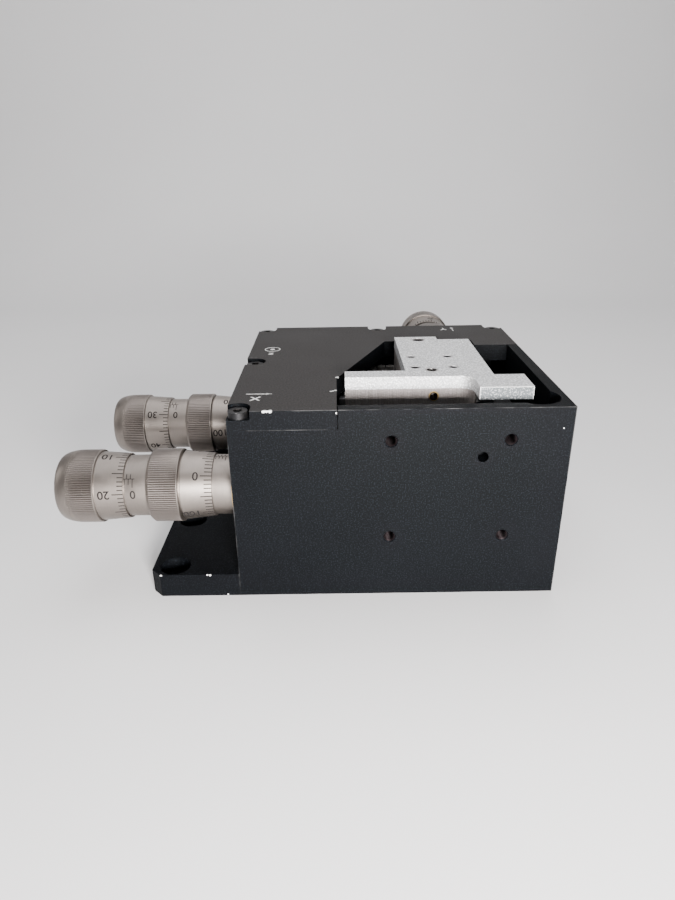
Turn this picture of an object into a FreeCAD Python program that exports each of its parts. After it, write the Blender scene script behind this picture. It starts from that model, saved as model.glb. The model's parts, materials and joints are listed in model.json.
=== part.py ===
import FreeCAD, Part
import os
import re
import Sketcher

# Three-axis flexure positioning stage with three differential micrometer drives.
# X runs to the right, Y to the back and Z up. The origin is the lower front left
# corner of the body, where the side flange meets it.

# Driving dimensions, in millimetres.
SIZES = {
    # housing
    "body_width": 95.0,
    "body_depth": 94.5,
    "body_height": 60.0,
    "flange_width": 27.0,
    "flange_thickness": 7.6,
    "flange_corner": 3.0,
    "left_wall": 12.0,
    "right_wall": 3.5,
    "front_wall": 8.0,
    "front_rim": 3.6,
    "back_wall": 8.0,
    "base_thickness": 7.0,
    "base_lip": 4.5,
    "cover_thickness": 5.8,
    "relief_radius": 6.6,
    "relief_inset": 8.6,
    "seam": 0.3,
    # cover outline
    "cover_front_width": 30.2,
    "diagonal_start": 27.5,
    "notch_left_reach": 7.5,
    "notch_right_reach": 24.2,
    "notch_back": 71.0,
    "pocket_back": 64.3,
    # holes in the housing
    "face_spacing_x": 33.0,
    "face_spacing_z": 30.4,
    "face_centre_x": 61.6,
    "face_centre_z": 35.3,
    "face_hole_radius": 1.65,
    "face_hole_depth": 7.0,
    "dowel_radius": 1.55,
    "dowel_depth": 5.0,
    "dowel_x": 70.7,
    "dowel_z": 45.4,
    "flange_hole_inset": 6.8,
    "flange_hole_margin": 5.0,
    "flange_hole_radius": 2.75,
    "flange_bore_radius": 4.6,
    "flange_bore_depth": 4.6,
    # fasteners
    "screw_radius": 1.5,
    "screw_head_radius": 2.75,
    "screw_head_height": 1.9,
    "screw_inset": 3.0,
    "screw_bore_radius": 3.6,
    "screw_bore_depth": 2.7,
    "screw_length": 8.0,
    "back_screw_x": 46.5,
    "small_screw_radius": 0.8,
    "small_screw_head_radius": 1.5,
    "small_screw_head_height": 1.2,
    "small_screw_length": 4.0,
    "base_screw_radius": 1.0,
    "base_screw_head_radius": 1.9,
    "base_screw_head_height": 1.6,
    "base_screw_length": 10.0,
    "head_sink": 0.4,
    "thread_play": 0.05,
    "hole_play": 0.2,
    # drives
    "drive_x_y": 14.0,
    "drive_x_z": 31.2,
    "drive_y_x": 71.5,
    "drive_y_z": 44.3,
    "drive_z_y": 70.0,
    "drive_z_z": 29.3,
    "sleeve_radius": 9.1,
    "sleeve_step": 1.2,
    "sleeve_neck_wall": 1.4,
    "shank_radius": 4.0,
    "nut_radius": 5.7,
    "nut_thickness": 3.5,
    "spindle_radius": 2.5,
    "running_play": 0.05,
    "turning_play": 0.1,
    "thimble_start": 6.7,
    "thimble_edge_wall": 0.45,
    "thimble_scale_length": 9.1,
    "thimble_scale_wall": 1.4,
    "groove_width": 0.6,
    "groove_wall": 0.8,
    "knurl_wall": 2.0,
    "coarse_knurl_length": 9.5,
    "knurl_chamfer": 0.8,
    "fine_sleeve_step": 0.2,
    "fine_sleeve_length": 15.7,
    "fine_sleeve_wall": 1.7,
    "fine_start": 32.6,
    "fine_edge_wall": 0.55,
    "fine_scale_length": 8.4,
    "fine_scale_wall": 1.2,
    "fine_knurl_length": 12.0,
    "fine_screw_radius": 5.0,
    "dome_radius": 2.4,
    "tip_gap": 0.25,
    # carriages
    "carriage_left_room": 13.5,
    "carriage_right_room": 6.0,
    "carriage_front_room": 5.5,
    "carriage_back_room": 25.5,
    "carriage_floor_room": 15.0,
    "x_carriage_height": 14.0,
    "y_carriage_height": 12.5,
    "carriage_gap": 2.0,
    "x_side_wall": 4.5,
    "x_front_wall": 13.5,
    "back_rail": 8.0,
    "y_side_wall": 10.0,
    "y_front_wall": 6.5,
    "pad_radius": 3.0,
    "pad_thickness": 2.0,
    "pad_proud": 0.5,
    "ear_depth": 3.5,
    # leaf springs and their clamps
    "leaf_thickness": 0.4,
    "bar_thickness": 1.5,
    "bar_width": 4.5,
    "x_leaf_width": 10.0,
    "x_leaf_spacing": 20.0,
    "x_leaf_centre": 39.0,
    "y_leaf_width": 8.0,
    "z_leaf_width": 18.0,
    "foot_width": 6.0,
    "foot_height": 6.0,
    # platform
    "deck_proud": 2.5,
    "plate_thickness": 3.8,
    "bar_depth": 9.5,
    "arm_left_reach": 22.75,
    "arm_right_reach": 30.5,
    "stem_left_reach": 4.3,
    "stem_right_reach": 21.6,
    "stem_step_reach": 10.5,
    "arm_front": 10.0,
    "arm_back": 21.6,
    "recess_front": 20.5,
    "recess_back": 26.5,
    "recess_reach": 15.2,
    "recess_radius": 4.0,
    "horn": 0.6,
    "stem_back": 67.0,
    "stem_back_right": 63.2,
    "web_width": 9.3,
    "riser_width": 19.0,
    "riser_front": 28.0,
    "riser_back": 50.0,
    "deck_hole_pitch": 11.8,
    "deck_hole_radius": 1.25,
    "deck_hole_offset": 5.0,
    "deck_hole_y": 35.9,
    "centre_line_offset": 3.8,
    "centre_hole_radius": 2.1,
    "front_insert_radius": 1.6,
    # lever
    "lever_arm": 14.7,
    "lever_pivot_x": 23.5,
    "lever_width": 5.0,
    "lever_hub_radius": 4.5,
    "lever_leg": 5.0,
    "pivot_radius": 2.0,
    "lift_dowel_radius": 3.0,
    "lift_gap": 0.15,
    "cheek": 2.4,
    "cheek_gap": 0.3,
    # springs
    "wire_radius": 0.4,
    "push_spring_radius": 2.3,
    "pull_spring_radius": 1.9,
    "spring_pocket_depth": 3.0,
    "spring_seat_depth": 0.8,
    "hole_chamfer": 0.25,
    "insert_length": 4.0,
    "insert_wall": 0.55,
    "lift_half": 4.0,
    "bracket_plate": 3.0,
    "washer_thickness": 1.0,
    "bush_start": 9.0,
    "bush_length": 11.0,
    "web_thickness": 2.0,
    "ring_length": 2.5,
    "end_wall": 4.0,
    "spindle_tail": 4.0,
    "bracket_screw_length": 7.0,
    "strip_thickness": 1.2,
    "lift_arm_thickness": 2.3,
    "tongue_thickness": 3.0,
    "spring_pocket_radius": 2.9,
}

# Places worked out from the driving dimensions.
PLACES = {
    "seat_z": "body_height - cover_thickness",
    "cavity_right": "body_width - right_wall",
    "cavity_back": "body_depth - back_wall",
    "frame_left": "left_wall + carriage_left_room",
    "frame_right": "cavity_right - carriage_right_room",
    "frame_front": "front_wall + carriage_front_room",
    "frame_back": "cavity_back - carriage_back_room",
    "frame_middle": "(frame_left + frame_right) / 2",
    "notch_left": "frame_middle - notch_left_reach",
    "notch_right": "frame_middle + notch_right_reach",
    "arm_left": "frame_middle - arm_left_reach",
    "arm_right": "frame_middle + arm_right_reach",
    "stem_left": "frame_middle - stem_left_reach",
    "stem_right": "frame_middle + stem_right_reach",
    "stem_step": "frame_middle + stem_step_reach",
    "recess_end": "frame_middle + recess_reach",
    "deck_hole_x": "frame_middle + deck_hole_offset",
    "centre_line": "frame_middle + centre_line_offset",
    "deck_height": "body_height + deck_proud",
    "thimble_edge_radius": "sleeve_radius + thimble_edge_wall",
    "thimble_scale_radius": "sleeve_radius + thimble_scale_wall",
    "groove_radius": "sleeve_radius + groove_wall",
    "knurl_radius": "sleeve_radius + knurl_wall",
    "fine_sleeve_radius": "sleeve_radius + fine_sleeve_step",
    "fine_edge_radius": "fine_sleeve_radius + fine_edge_wall",
    "fine_scale_radius": "fine_sleeve_radius + fine_scale_wall",
    "fine_sleeve_bore": "fine_sleeve_radius - fine_sleeve_wall",
    "sleeve_neck_radius": "sleeve_radius - sleeve_step",
    "sleeve_bore_radius": "sleeve_neck_radius - sleeve_neck_wall",
    "x_low": "base_thickness + carriage_floor_room",
    "x_high": "x_low + x_carriage_height",
    "y_low": "x_high + carriage_gap",
    "y_high": "y_low + y_carriage_height",
    "plate_low": "deck_height - plate_thickness",
    "bar_low": "deck_height - bar_depth",
    "foot_high": "base_thickness + foot_height",
    "base_screw_seat": "base_screw_head_height + head_sink",
    "base_screw_depth": "base_screw_seat + base_screw_length",
    "foot_screw_seat": "screw_head_height + head_sink",
    "z_leaf_front": "(riser_front + riser_back - z_leaf_width) / 2",
    "riser_left": "frame_middle - riser_width / 2",
    "riser_right": "frame_middle + riser_width / 2",
    "web_right": "stem_left + web_width",
    "pivot_z": "drive_z_z + lever_arm",
    "lift_x": "lever_pivot_x + lever_arm",
    "lever_front": "drive_z_y - lever_width / 2",
    "strip_low": "pivot_z + lift_dowel_radius + lift_gap",
    "arm_low": "strip_low + strip_thickness",
    "arm_high": "arm_low + lift_arm_thickness",
    "lift_front": "frame_back + 4",
    "x_spring_z": "x_low + x_carriage_height / 2",
    "y_spring_x": "(riser_right + frame_right - y_side_wall) / 2",
    "y_spring_z": "y_low + y_carriage_height / 2",
    "y_spring_start": "frame_front + x_front_wall",
    "z_spring_y": "frame_front + y_front_wall + 4",
    "tongue_high": "y_low + tongue_thickness",
}

doc = FreeCAD.newDocument("FlexureStage")
sheet = doc.addObject("Spreadsheet::Sheet", "Size")
for row, (alias, value) in enumerate(SIZES.items(), start=1):
    sheet.set(f"A{row}", alias)
    sheet.set(f"B{row}", str(value))
    sheet.setAlias(f"B{row}", alias)
doc.recompute()

NODES = {}
DIRECTIONS = {
    "+X": (1, 0, 0),
    "-X": (-1, 0, 0),
    "+Y": (0, 1, 0),
    "-Y": (0, -1, 0),
    "+Z": (0, 0, 1),
    "-Z": (0, 0, -1),
}


def formula(text):
    """The text with every place and size replaced by what the sheet knows."""

    def replaced(match):
        word = match.group()
        if word in PLACES:
            return "(" + formula(PLACES[word]) + ")"
        return "Size." + word if word in SIZES else word

    return re.sub(r"[a-z_]+", replaced, str(text))


def number(text):
    """What a formula comes to now."""
    return float(sheet.evalExpression(formula(text)))


def bind(thing, prop, text):
    thing.setExpression(prop, formula(text))


def move(thing, at, direction="+Z"):
    """Puts a thing's own origin at a point, with its own Z along a direction."""
    turn = FreeCAD.Rotation(FreeCAD.Vector(0, 0, 1), FreeCAD.Vector(*DIRECTIONS[direction]))
    thing.Placement = FreeCAD.Placement(FreeCAD.Vector(0, 0, 0), turn)
    for letter, text in zip("xyz", at):
        bind(thing, f"Placement.Base.{letter}", text)
    return thing


def along(at, direction, distance):
    """A point moved along a direction."""
    return [
        f"{text} + ({step}) * ({distance})" if step else text
        for text, step in zip(at, DIRECTIONS[direction])
    ]


def block(low, high):
    """A box between two opposite corners."""
    box = doc.addObject("Part::Box", "Block")
    for prop, start, end in zip(("Length", "Width", "Height"), low, high):
        bind(box, prop, f"({end}) - ({start})")
    return move(box, low)


def rod(at, direction, radius, length):
    """A cylinder that starts at a point and runs along a direction."""
    cylinder = doc.addObject("Part::Cylinder", "Rod")
    bind(cylinder, "Radius", radius)
    bind(cylinder, "Height", length)
    return move(cylinder, at, direction)


def joined(*things):
    fused = doc.addObject("Part::MultiFuse", "Joined")
    fused.Shapes = list(things)
    return fused


def cut(base, *tools):
    result = doc.addObject("Part::Cut", "Cut")
    result.Base = base
    result.Tool = tools[0] if len(tools) == 1 else joined(*tools)
    return result


def group(*things):
    """Separate solids that share one node."""
    together = doc.addObject("Part::Compound", "Group")
    together.Links = list(things)
    return together


def node(name, thing):
    """Names a finished sub-part."""
    thing.Label = name
    NODES[name] = thing
    return thing


def sketched(role, points):
    """A body with one closed outline on one of its origin planes."""
    body = doc.addObject("PartDesign::Body", "Body")
    plane = [one for one in body.Origin.OriginFeatures if one.Role == role][0]
    sketch = body.newObject("Sketcher::SketchObject", "Outline")
    sketch.AttachmentSupport = [(plane, "")]
    sketch.MapMode = "FlatFace"
    corners = [FreeCAD.Vector(number(x), number(y), 0) for x, y in points]
    for start, end in zip(corners, corners[1:] + corners[:1]):
        sketch.addGeometry(Part.LineSegment(start, end))
    for line in range(len(points)):
        following = (line + 1) % len(points)
        sketch.addConstraint(Sketcher.Constraint("Coincident", line, 2, following, 1))
    for line, (point, corner) in enumerate(zip(points, corners)):
        for kind, axis, text, value in zip(("DistanceX", "DistanceY"), (-2, -1), point, corner):
            if text == "0":
                sketch.addConstraint(Sketcher.Constraint("PointOnObject", line, 1, axis))
                continue
            place = sketch.addConstraint(Sketcher.Constraint(kind, -1, 1, line, 1, value))
            bind(sketch, f"Constraints[{place}]", text)
    return body, sketch


def turned(profile, at, direction):
    """A turned piece: its profile lists (radius, distance along the direction)."""
    body, sketch = sketched("XZ_Plane", profile)
    turning = body.newObject("PartDesign::Revolution", "Turning")
    turning.Profile = sketch
    turning.ReferenceAxis = (sketch, ["V_Axis"])
    turning.Angle = 360
    body.Tip = turning
    return move(body, at, direction)


def plate(outline, low, thickness):
    """A plate cut to an outline seen from above."""
    body, sketch = sketched("XY_Plane", outline)
    pad = body.newObject("PartDesign::Pad", "Plate")
    pad.Profile = sketch
    bind(pad, "Length", thickness)
    body.Tip = pad
    return move(body, ("0", "0", low))


def rounded(body, radius, chosen):
    """Rounds the edges of a body's tip that a test picks."""
    doc.recompute()
    tip = body.Tip
    names = [f"Edge{i}" for i, edge in enumerate(tip.Shape.Edges, start=1) if chosen(edge)]
    fillet = body.newObject("PartDesign::Fillet", "Round")
    fillet.Base = (tip, names)
    bind(fillet, "Radius", radius)
    body.Tip = fillet
    return body


def screw(at, direction, size="screw", length=None):
    """A cap screw whose head sits at a point and whose shank runs along a direction."""
    radius = f"{size}_radius"
    head_radius = f"{size}_head_radius"
    head_height = f"{size}_head_height"
    top = along(at, direction, f"-({head_height})")
    head = rod(top, direction, head_radius, head_height)
    shank = rod(at, direction, radius, length or f"{size}_length")
    socket = doc.addObject("Part::Prism", "Socket")
    socket.Polygon = 6
    bind(socket, "Circumradius", f"{head_radius} * 0.5")
    bind(socket, "Height", f"{head_height} * 0.6")
    move(socket, top, direction)
    return cut(joined(head, shank), socket)


# Housing ---------------------------------------------------------------------

# Each cover screw sits in a recess that is open towards the edge named with it.
COVER_SCREWS = [
    ("screw_inset", "screw_inset", "-Y"),
    ("screw_inset", "body_depth / 2", "-X"),
    ("screw_inset", "body_depth - screw_inset", "+Y"),
    ("back_screw_x", "body_depth - screw_inset", "+Y"),
    ("body_width - screw_inset", "body_depth - screw_inset", "+Y"),
]
BASE_SCREWS = [
    (x, y)
    for x in ("left_wall + 12", "cavity_right - 12")
    for y in ("front_wall - base_lip / 2", "cavity_back + base_lip / 2")
] + [("left_wall - base_lip / 2", "body_depth / 3"), ("left_wall - base_lip / 2", "body_depth * 2 / 3")]
FOOT_SCREWS = [
    (x, y)
    for x in ("frame_left + foot_width / 2 + 0.5", "frame_right - foot_width / 2 - 0.5")
    for y in ("x_leaf_centre - 4", "x_leaf_centre + 4")
]
BRACKET_SCREWS = ["pivot_z + 3", "pivot_z - 3"]
FACE_HOLES = [
    (f"face_centre_x + ({x}) * face_spacing_x", f"face_centre_z + ({z}) * face_spacing_z")
    for x in (-0.5, 0.5)
    for z in (-0.5, 0.5)
]
FLANGE_HOLES = [
    f"flange_hole_margin + {i} / 3 * (body_depth - 2 * flange_hole_margin)" for i in range(4)
]
DRIVES = {
    "x": (("0", "drive_x_y", "drive_x_z"), "-X", "left_wall", "frame_left - pad_proud - tip_gap"),
    "y": (
        ("drive_y_x", "body_depth", "drive_y_z"),
        "+Y",
        "back_wall",
        "body_depth - frame_back - pad_proud - tip_gap",
    ),
    "z": (
        ("0", "drive_z_y", "drive_z_z"),
        "-X",
        "left_wall",
        "lever_pivot_x - lever_leg / 2 - tip_gap",
    ),
}
OPPOSITE = {"-X": "+X", "+Y": "-Y"}


def build_housing():
    flange = plate(
        [
            ("-flange_width + flange_corner", "0"),
            ("0", "0"),
            ("0", "body_depth"),
            ("-flange_width", "body_depth"),
            ("-flange_width", "flange_corner"),
        ],
        "0",
        "flange_thickness",
    )
    body = block(("0", "0", "0"), ("body_width", "body_depth", "seat_z"))
    rim = plate(
        [
            ("cover_front_width + seam", "0"),
            ("body_width", "0"),
            ("body_width", "pocket_back - seam"),
            ("cavity_right", "pocket_back - seam"),
            ("cavity_right", "front_rim"),
            ("cover_front_width + seam", "front_rim"),
        ],
        "seat_z - 1",
        "cover_thickness + 1",
    )
    cavity = block(
        ("left_wall", "front_wall", "-1"), ("cavity_right", "cavity_back", "body_height + 1")
    )
    shelf = block(
        ("cover_front_width + seam", "front_rim", "seat_z"),
        ("cavity_right", "front_wall + 1", "body_height + 1"),
    )
    recess = block(
        ("left_wall - base_lip", "front_wall - base_lip", "-1"),
        ("cavity_right", "cavity_back + base_lip", "base_thickness"),
    )
    relief = rod(
        ("body_width - relief_inset", "relief_inset", "seat_z"),
        "+Z",
        "relief_radius",
        "cover_thickness + 5",
    )
    tools = [cavity, shelf, recess, relief]
    for x, z in FACE_HOLES:
        tools += threaded((x, "0", z), "+Y", "face_hole_radius", "face_hole_depth")
    tools.append(rod(("dowel_x", "-1", "dowel_z"), "+Y", "dowel_radius", "dowel_depth + 1"))
    for y in FLANGE_HOLES:
        x = "-flange_width + flange_hole_inset"
        tools.append(rod((x, y, "-1"), "+Z", "flange_hole_radius", "flange_thickness + 2"))
        floor = "flange_thickness - flange_bore_depth"
        tools.append(rod((x, y, floor), "+Z", "flange_bore_radius", "flange_bore_depth + 1"))
    for x, y, opening in COVER_SCREWS:
        depth = "screw_length - cover_thickness + screw_bore_depth + 1"
        tools.append(rod((x, y, "seat_z + 1"), "-Z", "screw_radius + thread_play", f"{depth} + 1"))
    for x, y in BASE_SCREWS:
        tools.append(rod((x, y, "0"), "+Z", "base_screw_radius + thread_play", "base_screw_depth + 1"))
    for at, direction, wall, reach in DRIVES.values():
        inward = OPPOSITE[direction]
        start = along(at, direction, "1")
        tools.append(rod(start, inward, "shank_radius + thread_play", f"{wall} + 2"))
    for z in BRACKET_SCREWS:
        at = ("left_wall + 1", "drive_z_y", z)
        tools.append(rod(at, "-X", "small_screw_radius + thread_play", "bracket_screw_length"))
    seat = ("cavity_right - 1", "x_leaf_centre", "x_spring_z")
    tools.append(rod(seat, "+X", "spring_pocket_radius", "1 + spring_seat_depth"))
    node("housing", cut(joined(body, flange, rim), *tools))


def build_cover():
    sheet_metal = plate(
        [
            ("0", "0"),
            ("cover_front_width", "0"),
            ("cover_front_width", "diagonal_start"),
            ("notch_left", "notch_back"),
            ("notch_right", "notch_back"),
            ("notch_right", "pocket_back"),
            ("body_width", "pocket_back"),
            ("body_width", "body_depth"),
            ("0", "body_depth"),
        ],
        "seat_z",
        "cover_thickness",
    )
    tools = []
    floor = "body_height - screw_bore_depth"
    roof = "body_height + 1"
    for x, y, opening in COVER_SCREWS:
        tools.append(rod((x, y, "seat_z - 1"), "+Z", "screw_radius + hole_play", "cover_thickness + 2"))
        tools.append(rod((x, y, floor), "+Z", "screw_bore_radius", "screw_bore_depth + 1"))
        left, right = f"{x} - screw_bore_radius", f"{x} + screw_bore_radius"
        front, back = f"{y} - screw_bore_radius", f"{y} + screw_bore_radius"
        slots = {
            "-Y": ((left, "-1", floor), (right, y, roof)),
            "-X": (("-1", front, floor), (x, back, roof)),
            "+Y": ((left, y, floor), (right, "body_depth + 1", roof)),
        }
        tools.append(block(*slots[opening]))
    node("top_cover", cut(sheet_metal, *tools))
    node("cover_screws", group(*[screw((x, y, floor), "-Z") for x, y, opening in COVER_SCREWS]))


def build_base():
    slab = block(
        ("left_wall - base_lip + seam", "front_wall - base_lip + seam", "0"),
        ("cavity_right - seam", "cavity_back + base_lip - seam", "base_thickness"),
    )
    tools = []
    for places, size, seat in (
        (BASE_SCREWS, "base_screw", "base_screw_seat"),
        (FOOT_SCREWS, "screw", "foot_screw_seat"),
    ):
        for x, y in places:
            tools.append(rod((x, y, "-1"), "+Z", f"{size}_radius + hole_play", "base_thickness + 2"))
            tools.append(rod((x, y, "-1"), "+Z", f"{size}_head_radius + hole_play", f"1 + {seat}"))
        node(
            {"screw": "foot_screws", "base_screw": "base_screws"}[size],
            group(*[screw((x, y, seat), "+Z", size) for x, y in places]),
        )
    node("base_plate", cut(slab, *tools))
    feet = []
    for low in ("frame_left", "frame_right - foot_width"):
        feet.append(
            block(
                (low, "x_leaf_centre - x_leaf_spacing", "base_thickness"),
                (f"{low} + foot_width", "x_leaf_centre + x_leaf_spacing", "foot_high"),
            )
        )
    holes = [
        rod((x, y, "base_thickness - 1"), "+Z", "screw_radius + thread_play", "foot_height")
        for x, y in FOOT_SCREWS
    ]
    holes += clamped["base"]["holes"]
    node("leaf_feet", group(*[cut(foot, *holes) for foot in feet]))
    hold("base", "base_leaf_bars", "base_leaf_screws")


# Leaf springs and the bars that clamp them ------------------------------------

clamped = {
    owner: {"bars": [], "screws": [], "holes": []}
    for owner in ("base", "x_carriage", "y_carriage", "platform")
}


def clamp(owner, low, high, inward, line, leaf_holes):
    """A bar over a leaf's end, with two screws into its owner."""
    middle = [f"(({start}) + ({end})) / 2" for start, end in zip(low, high)]
    axis = "XYZ".index(inward[1])
    seat = low if inward[0] == "-" else high
    outer = high if inward[0] == "-" else low
    bar = block(low, high)
    bar_holes = []
    for side in (-0.28, 0.28):
        place = list(middle)
        place[line] = f"{middle[line]} + ({side}) * (({high[line]}) - ({low[line]}))"
        place[axis] = outer[axis]
        clamped[owner]["screws"].append(screw(place, inward, "small_screw"))
        start = along(place, inward, "-0.5")
        through = "bar_thickness + leaf_thickness + 0.5"
        clearance = rod(start, inward, "small_screw_radius + hole_play", through)
        bar_holes.append(clearance)
        leaf_holes.append(clearance)
        place = list(place)
        place[axis] = seat[axis]
        thread = rod(place, inward, "small_screw_radius + thread_play", "small_screw_length")
        clamped[owner]["holes"].append(thread)
    clamped[owner]["bars"].append(cut(bar, *bar_holes))


def hold(owner, bars, screws):
    node(bars, group(*clamped[owner]["bars"]))
    node(screws, group(*clamped[owner]["screws"]))


def outside(face, sign, inner, outer):
    """Two places outside a face, in rising order."""
    near = f"{face} {sign} ({inner})"
    far = f"{face} {sign} ({outer})"
    return (far, near) if sign == "-" else (near, far)


LEAF = ("0", "leaf_thickness")
BAR = ("leaf_thickness", "leaf_thickness + bar_thickness")


def build_x_leaves():
    """Upright leaves between the base and the X carriage."""
    leaves = []
    for face, sign, inward in (("frame_left", "-", "+X"), ("frame_right", "+", "-X")):
        for half in (-0.5, 0.5):
            centre = f"x_leaf_centre + ({half}) * x_leaf_spacing"
            front, back = f"{centre} - x_leaf_width / 2", f"{centre} + x_leaf_width / 2"
            near, far = outside(face, sign, *LEAF)
            leaf = block((near, front, "base_thickness + 0.5"), (far, back, "x_high"))
            holes = []
            near, far = outside(face, sign, *BAR)
            ends = (
                ("base", "base_thickness + 0.5", "foot_high"),
                ("x_carriage", "x_high - foot_height", "x_high"),
            )
            for owner, low, high in ends:
                clamp(owner, (near, front, low), (far, back, high), inward, 1, holes)
            leaves.append(cut(leaf, *holes))
    node("x_leaves", group(*leaves))


def build_y_leaves():
    """Upright leaves between the X carriage and the Y carriage."""
    leaves = []
    for face, sign, inward in (("frame_front", "-", "+Y"), ("frame_back", "+", "-Y")):
        for centre in ("frame_left + 12", "frame_right - 5"):
            left, right = f"{centre} - y_leaf_width / 2", f"{centre} + y_leaf_width / 2"
            near, far = outside(face, sign, *LEAF)
            leaf = block((left, near, "x_low"), (right, far, "y_high"))
            holes = []
            near, far = outside(face, sign, *BAR)
            ends = (
                ("x_carriage", "x_low", "x_low + bar_width"),
                ("y_carriage", "y_high - bar_width", "y_high"),
            )
            for owner, low, high in ends:
                clamp(owner, (left, near, low), (right, far, high), inward, 0, holes)
            leaves.append(cut(leaf, *holes))
    node("y_leaves", group(*leaves))


def build_z_leaves():
    """Flat leaves between the Y carriage and the platform's riser."""
    leaves = []
    front, back = "z_leaf_front", "z_leaf_front + z_leaf_width"
    outer_left = "frame_left + y_side_wall"
    outer_right = "frame_right - y_side_wall"
    spans = (
        (f"{outer_left} - bar_width", outer_left, "riser_left", "riser_left + bar_width"),
        (f"{outer_right} + bar_width", outer_right, "riser_right", "riser_right - bar_width"),
    )
    for face, sign, inward in (("y_low", "-", "+Z"), ("y_high", "+", "-Z")):
        for fixed_end, fixed_edge, moving_edge, moving_end in spans:
            left, right = sorted((fixed_end, moving_end), key=number)
            low, high = outside(face, sign, *LEAF)
            leaf = block((left, front, low), (right, back, high))
            holes = []
            low, high = outside(face, sign, *BAR)
            ends = (("y_carriage", fixed_end, fixed_edge), ("platform", moving_edge, moving_end))
            for owner, one, other in ends:
                left, right = sorted((one, other), key=number)
                clamp(owner, (left, front, low), (right, back, high), inward, 1, holes)
            leaves.append(cut(leaf, *holes))
    node("z_leaves", group(*leaves))


def coil(at, direction, radius, length, turns):
    """A wire spring whose ends lie within its length."""
    helix = doc.addObject("Part::Helix", "Coil")
    bind(helix, "Radius", radius)
    bind(helix, "Height", f"{length} - 2 * wire_radius")
    bind(helix, "Pitch", f"({length} - 2 * wire_radius) / {turns}")
    bind(helix, "Placement.Base.z", "wire_radius")
    wire = doc.addObject("Part::Circle", "Wire")
    bind(wire, "Radius", "wire_radius")
    wire.Placement = FreeCAD.Placement(
        FreeCAD.Vector(0, 0, 0), FreeCAD.Rotation(FreeCAD.Vector(1, 0, 0), 90)
    )
    bind(wire, "Placement.Base.x", radius)
    bind(wire, "Placement.Base.z", "wire_radius")
    doc.recompute()
    sweep = doc.addObject("Part::Sweep", "Spring")
    sweep.Sections = [wire]
    sweep.Spine = (helix, [f"Edge{i}" for i in range(1, len(helix.Shape.Edges) + 1)])
    sweep.Solid = True
    sweep.Frenet = True
    return move(group(sweep), at, direction)


# Carriages ---------------------------------------------------------------------


def contact_pad(name, at, inward):
    """A hardened disc pressed into a carriage, a little proud of it."""
    node(name, rod(along(at, inward, "-pad_proud"), inward, "pad_radius", "pad_thickness"))
    return rod(along(at, inward, "-1"), inward, "pad_radius", "1 + pad_thickness - pad_proud")


def build_x_carriage():
    frame = block(("frame_left", "frame_front", "x_low"), ("frame_right", "frame_back", "x_high"))
    ear = block(
        ("frame_left", "frame_front - ear_depth", "x_low"),
        ("frame_left + foot_width", "frame_front + 1", "x_high"),
    )
    post = block(
        ("y_spring_x - spring_pocket_radius", "y_spring_start - bar_width", "x_high - 1"),
        ("y_spring_x + spring_pocket_radius", "y_spring_start", "y_spring_z + spring_pocket_radius"),
    )
    window = block(
        ("frame_left + x_side_wall", "frame_front + x_front_wall", "x_low - 1"),
        ("frame_right - x_side_wall", "frame_back - back_rail", "x_high + 1"),
    )
    pocket = rod(
        ("frame_right + 1", "x_leaf_centre", "x_spring_z"),
        "-X",
        "spring_pocket_radius",
        "1 + spring_pocket_depth",
    )
    pad = contact_pad("x_contact_pad", ("frame_left", "drive_x_y", "drive_x_z"), "+X")
    holes = clamped["x_carriage"]["holes"]
    node("x_carriage", cut(joined(frame, ear, post), window, pocket, pad, *holes))
    hold("x_carriage", "x_carriage_bars", "x_carriage_screws")
    start = ("frame_right - spring_pocket_depth", "x_leaf_centre", "x_spring_z")
    length = "carriage_right_room + spring_pocket_depth + spring_seat_depth"
    node("x_return_spring", coil(start, "+X", "push_spring_radius", length, 5))


Z_SPRINGS = ("frame_left + 14.5", "frame_middle + 3.5")


def build_y_carriage():
    frame = block(("frame_left", "frame_front", "y_low"), ("frame_right", "frame_back", "y_high"))
    window = block(
        ("frame_left + y_side_wall", "frame_front + y_front_wall", "y_low - 1"),
        ("frame_right - y_side_wall", "frame_back - back_rail", "y_high + 1"),
    )
    tongues = [
        block(
            (f"{x} - 3", "frame_front + y_front_wall - 1", "y_low"),
            (f"{x} + 3", "z_spring_y + 3", "tongue_high"),
        )
        for x in Z_SPRINGS
    ]
    pad = contact_pad("y_contact_pad", ("drive_y_x", "frame_back", "drive_y_z"), "-Y")
    holes = clamped["y_carriage"]["holes"]
    node("y_carriage", cut(joined(cut(frame, window), *tongues), pad, *holes))
    hold("y_carriage", "y_carriage_bars", "y_carriage_screws")
    start = ("y_spring_x", "y_spring_start", "y_spring_z")
    length = "frame_back - back_rail - y_spring_start"
    node("y_return_spring", coil(start, "+Y", "push_spring_radius", length, 10))
    springs = [
        coil((x, "z_spring_y", "tongue_high"), "+Z", "pull_spring_radius", "bar_low - tongue_high", 9)
        for x in Z_SPRINGS
    ]
    node("z_return_springs", group(*springs))


# Platform ------------------------------------------------------------------------


def in_recess_corner(edge):
    """True for the upright edge between the recessed front and the right arm."""
    first, last = edge.Vertexes[0].Point, edge.Vertexes[-1].Point
    upright = abs(first.z - last.z) > 1
    corner = (number("recess_end"), number("recess_front"))
    return upright and max(abs(first.x - corner[0]), abs(first.y - corner[1])) < 0.01


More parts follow.
